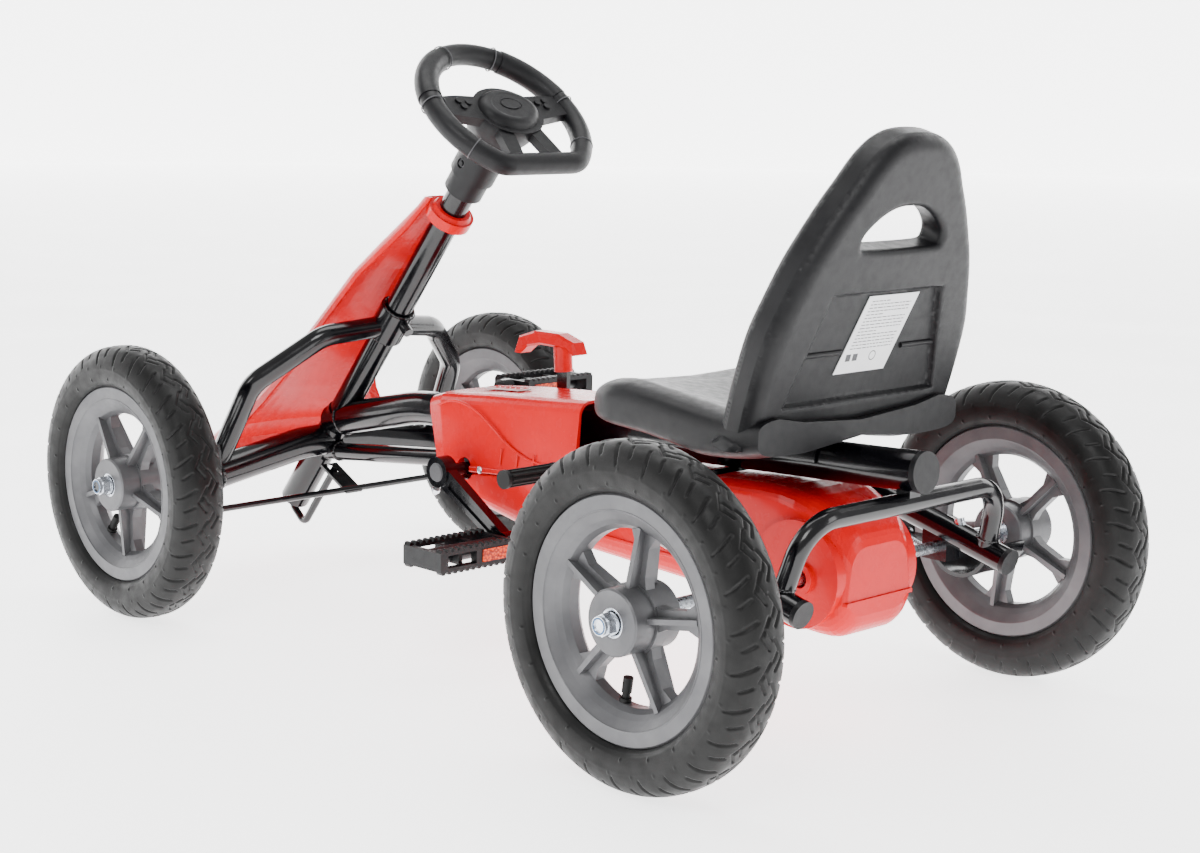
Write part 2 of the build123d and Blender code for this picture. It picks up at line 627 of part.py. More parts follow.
def steering_wheel():
    disc_face = Circle(94.5) - Pos(0, -128, 0) * Rectangle(220, 100)
    disc_face = fillet(disc_face.vertices().sort_by(Axis.Y)[:2], 24)
    line = disc_face.faces()[0].outer_wire() if len(disc_face.faces()) else disc_face.outer_wire()
    start = line @ 0
    section = Plane(origin=start, z_dir=line % 0) * Circle(12.0)
    rim_body = sweep(section, path=line)
    for a0 in (14, 118):
        arc = CenterArc((0, 0, 0), 94.2, a0, 48)
        grip = sweep(Plane(origin=arc @ 0, z_dir=arc % 0) * Ellipse(13.6, 12.8), path=Wire([arc.edge()]))
        rim_body += grip
    for s in (1, -1):
        outline = [(30 * s, 20), (60 * s, 22), (90 * s, 20), (90 * s, -6), (60 * s, -12), (30 * s, -18)]
        face = Face(Wire.make_polygon([Vector(x, y, -5) for x, y in outline], close=True))
        rim_body += extrude(face, amount=11, dir=(0, 0, 1))
        leg = [(10 * s, -24), (30 * s, -24), (40 * s, -78), (22 * s, -80)]
        face = Face(Wire.make_polygon([Vector(x, y, -6) for x, y in leg], close=True))
        rim_body += extrude(face, amount=10, dir=(0, 0, 1))
    bowl = loft([Pos(0, 0, -52) * Circle(25), Pos(0, 0, -34) * Circle(30), Pos(0, -2, -8) * Ellipse(46, 36),
                 Pos(0, -2, 6) * Ellipse(46, 36)])
    rim_body += bowl
    body = wheel_plane() * rim_body
    body -= rod(col(-124), col(-20), 8.0)
    return body


def steering_pad():
    pad = loft([Pos(0, -2, 6) * Ellipse(40, 30), Pos(0, -2, 12) * Ellipse(36, 26), Pos(0, -2, 14) * Ellipse(26, 18)])
    badge = Pos(0, 0, 13) * extrude(Ellipse(15, 9), amount=3)
    pad = pad - badge + Pos(0, 0, 12) * extrude(Ellipse(13.5, 7.5), amount=2.4)
    for s in (1, -1):
        for x, y in ((50, 10), (60, 4), (62, 13)):
            pad += Pos(s * x, y, 6) * extrude(Circle(4.2), amount=2.2)
    return wheel_plane() * pad


def steering_neck():
    body = rod(col(-35.5), col(-62), 22.5)
    body += rod(col(-60), col(-91), 26)
    body -= rod(col(-30), col(-130), 8.0)
    body -= wheel_plane(-51.9) * Pos(0, 0, 20) * Box(90, 90, 40)
    cross = rod((col(-76)[0], -30, col(-76)[2]), (col(-76)[0], 30, col(-76)[2]), 3.2)
    bolt = rod((col(-76)[0], 20, col(-76)[2]), (col(-76)[0], 30, col(-76)[2]), 5.5)
    return body - bolt + (cross & rod(col(-35.5), col(-91), 26)) - rod(col(-30), col(-130), 8.0)


def tie_rod():
    x = AXLE_X - ARM
    body = rod((x, -KING_Y + 10, TIE_Z), (x, KING_Y - 10, TIE_Z), 3.8)
    for s in (1, -1):
        y0, y1 = sorted((s * (KING_Y - 16), s * (KING_Y + 9)))
        end = block(x - 8, x + 12.5, y0, y1, TIE_Z - 1.6, TIE_Z + 1.6)
        slot = block(x, x + 3.6, s * KING_Y - 3.9, s * KING_Y + 3.9, TIE_Z - 3, TIE_Z + 3)
        slot += rod((x, s * KING_Y, TIE_Z - 3), (x, s * KING_Y, TIE_Z + 3), 3.9)
        slot += rod((x + 3.6, s * KING_Y, TIE_Z - 3), (x + 3.6, s * KING_Y, TIE_Z + 3), 3.9)
        body += end
        body -= slot
        side = sorted((s * (KING_Y - 14), s * KING_Y))
        body -= block(x - 5, x + 5, side[0], side[1] + 1, TIE_Z + 1.6, TIE_Z + 6)
        body -= block(x - 5, x + 5, side[0], side[1] + 1, TIE_Z - 6, TIE_Z - 1.6)
    lean = radians(27)
    flat = Plane(origin=(x, 0, TIE_Z), x_dir=(cos(lean), 0, sin(lean)), z_dir=(-sin(lean), 0, cos(lean)))
    plate = flat * (Pos(23, 0, 0) * Box(58, 24, 3))
    hole = rod(col(340, CRANK_OFF), col(440, CRANK_OFF), 5.6)
    far = rod(col(340, CRANK_OFF - 6.5), col(440, CRANK_OFF - 6.5), 5.6)
    mid = rod(col(340, CRANK_OFF - 3.2), col(440, CRANK_OFF - 3.2), 5.6)
    return body + plate - hole - far - mid


def knuckle():
    barrel = ring((AXLE_X, KING_Y, 119), (AXLE_X, KING_Y, 185), 12, 5 + RUN)
    stub = rod((AXLE_X, KING_Y + 8, TYRE_R), (AXLE_X, 324, TYRE_R), AXLE_R)
    shoulder = rod((AXLE_X, KING_Y + 8, TYRE_R), (AXLE_X, 252.4, TYRE_R), 10)
    x = AXLE_X - ARM
    arm = block(x - 8, AXLE_X - 6, KING_Y - 8, KING_Y + 8, 122.5, 127.5)
    arm += rod((x, KING_Y, 122.5), (x, KING_Y, 127.5), 9)
    pin = rod((x, KING_Y, 111), (x, KING_Y, 124), 3)
    head = rod((x, KING_Y, 110), (x, KING_Y, 114.5), 6.5)
    body = barrel + stub + shoulder + arm + pin + head
    return body - rod((AXLE_X, KING_Y, 100), (AXLE_X, KING_Y, 200), 5 + RUN)


# ---- seat ---------------------------------------------------------------
LEAN = radians(16.54)
UP = Vector(-sin(LEAN), 0, cos(LEAN))
FWD = Vector(cos(LEAN), 0, sin(LEAN))
SEAT_FOOT = Vector(-425, 0, 340)


def seat_point(t, y, d):
    return SEAT_FOOT + UP * t + Vector(0, y, 0) + FWD * d


BACK_OUT = [(-62, 138), (-50, 146), (0, 148), (46, 145), (80, 135), (115, 122), (145, 106),
            (170, 91), (190, 77), (208, 66), (222, 54), (232, 38), (237, 18)]


def outline_face(inset, d, t_low=None):
    rows = [(t, w) for t, w in eased(BACK_OUT, 3) if t_low is None or t >= t_low]
    pts = []
    for t, w in rows:
        pts.append((t if t < 200 else t - inset, max(w - inset, 4)))
    ring_pts = [seat_point(t, w, d) for t, w in pts] + [seat_point(t, -w, d) for t, w in reversed(pts)]
    return Face(Wire.make_polygon(ring_pts, close=True))


def seat():
    layers = [(7, 0), (2.5, 2.2), (0, 8), (0, 30), (3, 38), (9, 42)]
    back = loft([outline_face(i, d) for i, d in layers], ruled=True)
    dish = loft([outline_face(26, 20, -10), outline_face(20, 34, -10), outline_face(14, 43, -10)], ruled=True)
    back -= dish
    panel = [(88, -77), (88, 77), (-16, 109), (-16, -109)]
    deep = Face(Wire.make_polygon([seat_point(t, y, -1) for t, y in panel], close=True))
    back -= extrude(deep, amount=6.5, dir=FWD)
    for y0, y1 in ((-97, -49), (41, 97)):
        strip = [(33, y0), (33, y1), (27, y1), (27, y0)]
        bar = Face(Wire.make_polygon([seat_point(t, y, 2) for t, y in strip], close=True))
        back += extrude(bar, amount=4, dir=FWD)
    hole = [(132, 56), (126, 50), (126, -50), (132, -56), (142, -54), (158, -38), (168, -18), (171, 0),
            (168, 18), (158, 38), (142, 54)]
    cut = Face(Wire.make_polygon([seat_point(t, y, -5) for t, y in hole], close=True))
    back -= extrude(cut, amount=60, dir=FWD)
    side = [(-187, 292), (-181, 306), (-190, 322), (-212, 333), (-240, 335), (-300, 326), (-350, 319),
            (-396, 318), (-412, 282), (-398, 275), (-343, 270), (-278, 281), (-215, 285)]
    face = Face(Wire.make_polygon([Vector(x, -148, z) for x, z in side], close=True))
    pan = extrude(face, amount=296, dir=(0, 1, 0))
    plan = Pos(-300, 0) * Rectangle(240, 296)
    plan = fillet(plan.vertices().sort_by(Axis.X)[-2:], 52)
    pan = pan & (Pos(0, 0, 240) * extrude(plan, amount=140))
    pan -= rod((-170, 0, 318 + 240), (-420, 0, 304 + 240), 240)
    under = [(-196, 280), (-196, 290), (-380, 302), (-404, 296), (-404, 250), (-196, 250)]
    face = Face(Wire.make_polygon([Vector(x, -141, z) for x, z in under], close=True))
    body = back + pan - extrude(face, amount=282, dir=(0, 1, 0))
    body -= block(-460, -380, -30, 30, 240, 287)
    body -= block(-205, -170, -24, 24, 240, 279)
    for x in (-300, -350):
        body -= rod((x, 0, 280), (x, 0, 340), 5.5)
    return body.solids().sort_by(SortBy.VOLUME)[-1]


def seat_bracket():
    p, q = (-230, 0, back_z(-230)), (-390, 0, back_z(-390))
    sleeve = ring((-245, 0, back_z(-245)), (-275, 0, back_z(-275)), 22.5, BACK_R + 0.35)
    sleeve += ring((-345, 0, back_z(-345)), (-385, 0, back_z(-385)), 22.5, BACK_R + 0.35)
    sleeve -= block(-400, -230, -40, 40, 200, back_z(-310) + 2)
    plate = block(-390, -240, -52, 52, 281.5, 285.0)
    plate -= rod((-200, 0, back_z(-200)), (-450, 0, back_z(-450)), BACK_R + 0.35)
    return sleeve + plate


def seat_label():
    pts = [(84, 21), (84, -53), (8, -29), (8, 45)]
    face = Face(Wire.make_polygon([seat_point(t, y, 4.7) for t, y in pts], close=True))
    return extrude(face, amount=0.8, dir=FWD)


# ---- brake --------------------------------------------------------------
def brake_lever():
    bar = [(52, 232), (68, 232), (68, 300), (52, 300)]
    face = Face(Wire.make_polygon([Vector(x, -72, z) for x, z in bar], close=True))
    body = extrude(face, amount=5.5, dir=(0, 1, 0))
    body += rod((60, -72, 232), (60, -66.5, 232), 10)
    body = body - rod((60, -80, 232), (60, -60, 232), 4 + RUN)
    pin = rod((60, -75, 232), (60, -61.2, 232), 4)
    return body, pin


def brake_handle():
    stem = rod((60, -69.2, 290), (62, -69.2, 318), 10.5)
    stem -= block(51.9, 68.1, -72, -66.5, 280, 300)
    pts = [(30, 312), (36, 325), (62, 333), (100, 333), (126, 325), (134, 306), (124, 305),
           (112, 314), (90, 318), (48, 317), (38, 310)]
    face = Face(Wire.make_polygon([Vector(x, -79.5, z) for x, z in pts], close=True))
    grip = extrude(face, amount=20.5, dir=(0, 1, 0))
    grip = chamfer(grip.edges().filter_by(Axis.Y, reverse=True).filter_by(lambda e: e.length > 12), 2.5)
    return stem + grip


def brake_shoe():
    x, z = -AXLE_X, TYRE_R
    cup = ring((x, -186, z), (x, -248, z), 37.5, 33.5)
    cup = cup & block(x - 60, x + 60, -260, -170, z - 50, z - 2)
    strap = block(x + 30, x + 74, -196, -186, z - 8, z - 2)
    eye = rod((x + 74, -196, z - 5), (x + 74, -186, z - 5), 7)
    body = cup + strap + eye
    return body - rod((x + 74, -200, z - 5), (x + 74, -180, z - 5), 3 + RUN)


def brake_pin():
    x, z = -AXLE_X + 74, TYRE_R - 5
    pin = rod((x, -199, z), (x, -166, z), 3)
    head = rod((x, -201.5, z), (x, -198, z), 5.5)
    hook = block(x - 6, x + 6, -168.5, -165, z - 6, 204)
    web = block(x - 6, x + 6, -168.5, -160, 188, 206)
    return pin + head + hook + web - rod(rail_at(-240, -1), rail_at(-520, -1), 13.01)


def build():
    wheels()
    save("axle_nut_front_left", nut(312.2, AXLE_X))
    save("axle_nut_front_right", flip(nut(312.2, AXLE_X)))
    save("axle_nuts_rear", nut(312.2, -AXLE_X), flip(nut(312.2, -AXLE_X)))
    save("backbone_tube", backbone())
    save("column_tube", column())
    save("column_bushings", *bushings())
    beam = axle_beam()
    save("axle_beam_left", beam)
    save("axle_beam_right", flip(beam))
    save("kingpin_bolts", kingpin(), flip(kingpin()))
    save("front_arch_tube", arch())
    save("lower_frame_tube", lower_tube())
    save("bottom_bracket", bottom_bracket())
    save("side_rail_left", rail())
    save("side_rail_right", flip(rail()))
    save("rear_cross_tube", cross_tube())
    save("rear_bumper", bumper())
    save("end_caps", *end_caps())
    save("bearing_blocks", *bearing_blocks())
    bar, grips = foot_pegs()
    save("foot_peg_bar", bar)
    save("foot_peg_grips", *grips)
    save("rear_axle", rear_axle())
    save("rear_spacers", *rear_spacers())
    save("rear_sprocket", disc(-AXLE_X, TYRE_R, SPROCKET_R, SPROCKET_T, CHAIN_Y, 12, AXLE_R))
    save("chainring", disc(CRANK_X, CRANK_Z, RING_R, RING_T, CHAIN_Y, 13, 7.0))
    save("chain", chain())
    save("crank_arms", crank_arms())
    for s, side in ((1, "left"), (-1, "right")):
        body, refl = pedal(s)
        save("pedal_" + side, body)
        save("pedal_reflectors_" + side, *refl)
    save("guard_front", guard_front())
    save("guard_rear", guard_rear())
    save("guard_badge", guard_badge())
    save("front_fairing", fairing())
    save("steering_shaft", steering_shaft())
    save("steering_neck", steering_neck())
    save("steering_wheel", steering_wheel())
    save("steering_pad", steering_pad())
    save("tie_rod", tie_rod())
    save("knuckle_left", knuckle())
    save("knuckle_right", flip(knuckle()))
    save("seat", seat())
    save("seat_bracket", seat_bracket())
    save("seat_label", seat_label())
    lever, pin = brake_lever()
    save("brake_lever", lever)
    save("brake_handle", brake_handle())
    save("brake_shoe", brake_shoe())
    save("frame_bolts", pin, brake_pin(), *frame_bolts())


build()
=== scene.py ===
import bpy
import json
import math
import random
import numpy as np
from mathutils import Matrix, Vector
from mathutils.geometry import delaunay_2d_cdt


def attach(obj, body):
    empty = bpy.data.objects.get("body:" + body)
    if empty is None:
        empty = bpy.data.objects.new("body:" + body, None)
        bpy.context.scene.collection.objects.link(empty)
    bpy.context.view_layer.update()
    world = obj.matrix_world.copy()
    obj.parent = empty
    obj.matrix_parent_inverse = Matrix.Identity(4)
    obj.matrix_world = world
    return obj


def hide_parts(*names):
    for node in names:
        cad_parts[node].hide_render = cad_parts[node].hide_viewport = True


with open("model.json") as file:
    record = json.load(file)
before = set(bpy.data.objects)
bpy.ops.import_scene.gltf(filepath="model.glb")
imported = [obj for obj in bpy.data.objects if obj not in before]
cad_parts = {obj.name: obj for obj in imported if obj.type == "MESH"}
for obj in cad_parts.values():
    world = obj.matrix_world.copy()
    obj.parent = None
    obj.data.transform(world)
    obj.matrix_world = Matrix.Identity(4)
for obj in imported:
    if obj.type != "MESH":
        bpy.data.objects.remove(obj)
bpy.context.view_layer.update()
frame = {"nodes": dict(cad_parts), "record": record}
nodes = frame["nodes"]
random.seed(7)
AX, WY, TR = 0.405, 0.279, 0.156        # axle distance, wheel plane and tyre radius, metres
CRANK = Vector((0.080, 0, 0.192))       # pedal crank centre
CRANK_TURN = 30.3                       # right crank arm above forward, degrees
COLUMN_TOP = Vector((0.176, 0, 0.463))
COLUMN_DOWN = Vector((0.629, 0, -0.777))


# ---- materials ----------------------------------------------------------
def new_material(name, color, rough, metal=0.0, coat=0.0, coat_rough=0.05, spec=0.5):
    m = bpy.data.materials.new(name)
    m.use_nodes = True
    b = m.node_tree.nodes["Principled BSDF"]
    b.inputs["Base Color"].default_value = (*color, 1)
    b.inputs["Roughness"].default_value = rough
    b.inputs["Metallic"].default_value = metal
    b.inputs["Coat Weight"].default_value = coat
    b.inputs["Coat Roughness"].default_value = coat_rough
    b.inputs["Specular IOR Level"].default_value = spec
    return m, m.node_tree, b


def coords(nt, scale):
    t = nt.nodes.new("ShaderNodeTexCoord")
    mp = nt.nodes.new("ShaderNodeMapping")
    mp.inputs["Scale"].default_value = (scale,) * 3
    nt.links.new(t.outputs["Object"], mp.inputs["Vector"])
    return mp.outputs["Vector"]


def noise(nt, scale, detail=3.0, rough=0.5):
    n = nt.nodes.new("ShaderNodeTexNoise")
    n.inputs["Scale"].default_value = 1.0
    n.inputs["Detail"].default_value = detail
    n.inputs["Roughness"].default_value = rough
    nt.links.new(coords(nt, scale), n.inputs["Vector"])
    return n.outputs["Fac"]


def vary_rough(nt, b, fac, lo, hi):
    r = nt.nodes.new("ShaderNodeMapRange")
    r.inputs["From Min"].default_value = 0.3
    r.inputs["From Max"].default_value = 0.7
    r.inputs["To Min"].default_value = lo
    r.inputs["To Max"].default_value = hi
    nt.links.new(fac, r.inputs["Value"])
    nt.links.new(r.outputs["Result"], b.inputs["Roughness"])


def vary_color(nt, b, fac, c0, c1):
    r = nt.nodes.new("ShaderNodeValToRGB")
    r.color_ramp.elements[0].position = 0.3
    r.color_ramp.elements[1].position = 0.7
    r.color_ramp.elements[0].color = (*c0, 1)
    r.color_ramp.elements[1].color = (*c1, 1)
    nt.links.new(fac, r.inputs["Fac"])
    nt.links.new(r.outputs["Color"], b.inputs["Base Color"])


def bump(nt, b, fac, strength, dist):
    n = nt.nodes.new("ShaderNodeBump")
    n.inputs["Strength"].default_value = strength
    n.inputs["Distance"].default_value = dist
    nt.links.new(fac, n.inputs["Height"])
    nt.links.new(n.outputs["Normal"], b.inputs["Normal"])


def make_materials():
    mats = {}
    m, nt, b = new_material("frame_black", (0.001, 0.001, 0.002), 0.16, coat=0.2, coat_rough=0.04, spec=0.4)
    vary_rough(nt, b, noise(nt, 60, 4), 0.13, 0.24)
    bump(nt, b, noise(nt, 260, 2), 0.12, 0.0004)
    mats["frame_black"] = m
    m, nt, b = new_material("red_plastic", (0.80, 0.0, 0.006), 0.3, coat=0.10, coat_rough=0.06, spec=0.14)
    vary_color(nt, b, noise(nt, 9, 3), (0.60, 0.0, 0.003), (0.68, 0.0, 0.005))
    vary_rough(nt, b, noise(nt, 80, 5), 0.20, 0.32)
    bump(nt, b, noise(nt, 60, 2), 0.10, 0.0006)
    mats["red_plastic"] = m
    m, nt, b = new_material("black_plastic", (0.004, 0.004, 0.005), 0.45, spec=0.28)
    vary_color(nt, b, noise(nt, 14, 4), (0.003, 0.003, 0.004), (0.006, 0.006, 0.007))
    vary_rough(nt, b, noise(nt, 120, 5), 0.36, 0.50)
    bump(nt, b, noise(nt, 1500, 3), 0.35, 0.0003)
    mats["black_plastic"] = m
    m, nt, b = new_material("tyre", (0.002, 0.002, 0.002), 0.45, spec=0.25)
    vary_color(nt, b, noise(nt, 25, 5), (0.001, 0.001, 0.001), (0.004, 0.004, 0.004))
    vary_rough(nt, b, noise(nt, 90, 5), 0.36, 0.58)
    bump(nt, b, noise(nt, 700, 3), 0.3, 0.0003)
    mats["tyre"] = m
    m, nt, b = new_material("rubber", (0.003, 0.003, 0.003), 0.6, spec=0.25)
    bump(nt, b, noise(nt, 900, 3), 0.3, 0.0003)
    mats["rubber"] = m
    m, nt, b = new_material("rim_grey", (0.11, 0.11, 0.115), 0.40, metal=0.45, spec=0.3)
    vary_color(nt, b, noise(nt, 30, 5), (0.095, 0.095, 0.10), (0.135, 0.135, 0.14))
    vary_rough(nt, b, noise(nt, 200, 4), 0.34, 0.48)
    bump(nt, b, noise(nt, 1200, 3), 0.2, 0.0002)
    mats["rim_grey"] = m
    m, nt, b = new_material("zinc", (0.70, 0.74, 0.80), 0.25, metal=1.0)
    vary_rough(nt, b, noise(nt, 300, 4), 0.18, 0.38)
    vary_color(nt, b, noise(nt, 120, 4), (0.58, 0.62, 0.68), (0.80, 0.83, 0.88))
    mats["zinc"] = m
    m, nt, b = new_material("chain_steel", (0.20, 0.19, 0.18), 0.35, metal=1.0)
    vary_rough(nt, b, noise(nt, 300, 4), 0.25, 0.5)
    mats["chain_steel"] = m
    m, nt, b = new_material("reflector", (0.80, 0.13, 0.01), 0.15, coat=0.2, spec=0.2)
    v = nt.nodes.new("ShaderNodeTexVoronoi")
    v.inputs["Scale"].default_value = 1.0
    nt.links.new(coords(nt, 330), v.inputs["Vector"])
    vary_color(nt, b, v.outputs["Distance"], (0.80, 0.07, 0.005), (0.30, 0.015, 0.002))
    bump(nt, b, v.outputs["Distance"], 0.6, 0.001)
    mats["reflector"] = m
    m, nt, b = new_material("label_white", (0.82, 0.82, 0.84), 0.4)
    vary_color(nt, b, noise(nt, 40, 3), (0.78, 0.78, 0.80), (0.86, 0.86, 0.87))
    mats["label_white"] = m
    m, nt, b = new_material("ink", (0.06, 0.06, 0.065), 0.5)
    vary_rough(nt, b, noise(nt, 400, 3), 0.42, 0.6)
    mats["ink"] = m
    m, nt, b = new_material("blue_nylon", (0.02, 0.10, 0.24), 0.4)
    vary_rough(nt, b, noise(nt, 400, 3), 0.32, 0.5)
    mats["blue_nylon"] = m
    return mats


MAT = make_materials()
SLOT = {s["node"]: s["material_slot"] for s in frame["record"]["subparts"]}


def paint(o, name):
    o.data.materials.clear()
    o.data.materials.append(MAT[name])


# edges sharper than this many degrees stay sharp
SPLIT = {"red_plastic": 52, "frame_black": 48, "black_plastic": 42}
for name, o in nodes.items():
    paint(o, SLOT[name])
    for p in o.data.polygons:
        p.use_smooth = True
    mod = o.modifiers.new("split", "EDGE_SPLIT")
    mod.split_angle = math.radians(SPLIT.get(SLOT[name], 34))


# ---- mesh helpers -------------------------------------------------------
def mesh_object(name, verts, faces, mat, smooth=True):
    me = bpy.data.meshes.new(name)
    me.from_pydata([tuple(v) for v in verts], [], faces)
    me.update()
    o = bpy.data.objects.new(name, me)
    bpy.context.collection.objects.link(o)
    me.materials.append(MAT[mat])
    if smooth:
        for p in me.polygons:
            p.use_smooth = True
    return o


def grid_object(name, pts, mat, wrap_u=True, wrap_v=False):
    nu, nv = pts.shape[:2]
    faces = []
    for i in range(nu if wrap_u else nu - 1):
        for j in range(nv if wrap_v else nv - 1):
            a, b = i * nv + j, ((i + 1) % nu) * nv + j
            c, d = ((i + 1) % nu) * nv + (j + 1) % nv, i * nv + (j + 1) % nv
            faces.append((a, b, c, d))
    return mesh_object(name, pts.reshape(-1, 3), faces, mat)


def lathe(name, profile, mat, origin, axis, n=64):
    # profile: (radius, height) along axis, closed loop
    a = Vector(axis).normalized()
    u = a.orthogonal().normalized()
    w = a.cross(u)
    o = Vector(origin)
    pts = np.zeros((n, len(profile), 3))
    for i in range(n):
        t = 2 * math.pi * i / n
        d = u * math.cos(t) + w * math.sin(t)
        for j, (r, h) in enumerate(profile):
            pts[i, j] = o + d * r + a * h
    ob = grid_object(name, pts, mat, True, True)
    mod = ob.modifiers.new("split", "EDGE_SPLIT")
    mod.split_angle = math.radians(35)
    return ob


def wire(name, pts, radius, mat, cyclic=False, smooth=True):
    cu = bpy.data.curves.new(name, "CURVE")
    cu.dimensions = "3D"
    cu.bevel_depth = radius
    cu.bevel_resolution = 4
    cu.resolution_u = 10
    sp = cu.splines.new("BEZIER" if smooth else "POLY")
    if smooth:
        sp.bezier_points.add(len(pts) - 1)
        for bp, p in zip(sp.bezier_points, pts):
            bp.co = p
            bp.handle_left_type = bp.handle_right_type = "AUTO"
    else:
        sp.points.add(len(pts) - 1)
        for q, p in zip(sp.points, pts):
            q.co = (*p, 1)
    sp.use_cyclic_u = cyclic
    cu.use_fill_caps = True
    o = bpy.data.objects.new(name, cu)
    bpy.context.collection.objects.link(o)
    cu.materials.append(MAT[mat])
    return o


def ride(o, body):
    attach(o, body)
    return o


# ---- tyres --------------------------------------------------------------
def seg_dist(px, py, ax, ay, bx, by):
    dx, dy = bx - ax, by - ay
    t = np.clip(((px - ax) * dx + (py - ay) * dy) / (dx * dx + dy * dy), 0, 1)
    return np.hypot(px - ax - t * dx, py - ay - t * dy)


CROWN_R, WAIST_R, HALF_W = 156.0, 129.0, 30.0   # tyre section, mm
LUGS = 26                                        # tread pattern repeats


def tyre_mesh(quick):
    # points of one tyre about its own centre, tread cut in along the crown
    n_t = 480 if quick else 1080
    key = []
    for k in range(13):
        a = math.radians(-42 + 132.0 * k / 12)
        r = WAIST_R + (CROWN_R - WAIST_R) * math.sin(a)
        y = HALF_W * max(math.cos(a), 0.0) ** 0.72
        if r > 113 and y > 0.5:
            key.append((r, y))
    half = [(101.6, 17.6), (110.8, 17.6), (111.4, 21.8)] + key + [(CROWN_R, 0.0)]
    half = np.array(half)
    seg = np.r_[0, np.cumsum(np.hypot(*np.diff(half, axis=0).T))]
    m = 40 if quick else 64
    s = np.linspace(0, seg[-1], m)
    r = np.interp(s, seg, half[:, 0])
    y = np.interp(s, seg, half[:, 1])
    k = np.array([1, 2, 3, 2, 1.0])
    k /= k.sum()
    rs = np.convolve(np.pad(r, 2, mode="edge"), k, "valid")
    ys = np.convolve(np.pad(y, 2, mode="edge"), k, "valid")
    keep = s < 16
    rs[keep], ys[keep] = r[keep], y[keep]
    rs[-1], ys[-1] = CROWN_R, 0.0
    R = np.r_[rs, rs[:-1][::-1]]
    Y = np.r_[ys, -ys[:-1][::-1]]
    nr, ny = np.gradient(Y), -np.gradient(R)
    ln = np.hypot(nr, ny)
    nr, ny = nr / ln, ny / ln
    flipn = np.sign((nr * (R - 128) + ny * Y).sum())
    nr, ny = nr * flipn, ny * flipn
    arc = np.r_[0, np.cumsum(np.hypot(np.diff(R), np.diff(Y)))]
    arc -= arc[-1] / 2                      # distance across the crown
    th = np.linspace(0, 2 * math.pi, n_t, endpoint=False)
    T, A = np.meshgrid(th, arc, indexing="ij")
    pitch = 2 * math.pi * 150 / LUGS
    U = T * 150.0                           # distance round the tread
    depth = np.zeros_like(T)
    near = np.abs(A) < 46

    def groove(u0, a0, u1, a1, w, d):
        nonlocal depth
        for shift in (-1, 0, 1):
            px = (U % pitch) + shift * pitch
            dist = seg_dist(px, A, u0, a0, u1, a1)
            depth = np.maximum(depth, d * np.clip(1.25 - dist / w, 0, 1) * near)

    for sgn, off in ((1, 0.0), (-1, pitch / 2)):
        groove(off + 4, sgn * 15, off + 11, sgn * 30, 1.5, 1.9)
        groove(off + 11, sgn * 30, off + 13, sgn * 37, 1.2, 1.4)
        groove(off + 22, sgn * 17, off + 27, sgn * 28, 1.4, 1.7)
        groove(off + 2, sgn * 2, off + 17, sgn * 12, 1.5, 1.9)
        groove(off + 17, sgn * 12, off + 28, sgn * 4, 1.3, 1.8)
        groove(off + 10, sgn * 7, off + 20, sgn * 1, 1.1, 1.4)
    rise = np.zeros_like(T)
    RR = np.broadcast_to(R, T.shape)
    side = np.abs(A) > 38
    rise += 0.5 * np.exp(-((np.abs(A) - 43.5) / 0.8) ** 2)
    rise -= 0.5 * np.exp(-((RR - 115.5) / 0.7) ** 2) * side
    for rad, cnt, ph in ((120.0, 22, 0.0), (134.0, 30, 0.1)):
        ang = (T + ph) % (2 * math.pi / cnt) - math.pi / cnt
        dd = np.hypot(ang * rad, RR - rad)
        rise += 1.0 * np.exp(-(dd / 1.2) ** 4) * side
    move = rise - depth
    rad = RR + nr[None, :] * move
    rad = np.minimum(rad, CROWN_R)
    yy = np.clip(Y[None, :] + ny[None, :] * move, 0.01 - HALF_W, HALF_W - 0.01)
    pts = np.stack([rad * np.cos(T), yy, rad * np.sin(T)], axis=-1) / 1000.0
    return pts


TYRE_PTS = tyre_mesh(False)
TREAD_TURN = {"front_left": 0, "front_right": 40, "rear_left": 5, "rear_right": 75}
HOLDER = {"front_left": "knuckle_left", "front_right": "knuckle_right"}
WHEELS = {"front_left": (1, 1, "wheel_front_left"), "front_right": (1, -1, "wheel_front_right"),
          "rear_left": (-1, 1, "wheel_rear_left"), "rear_right": (-1, -1, "drive_axle")}


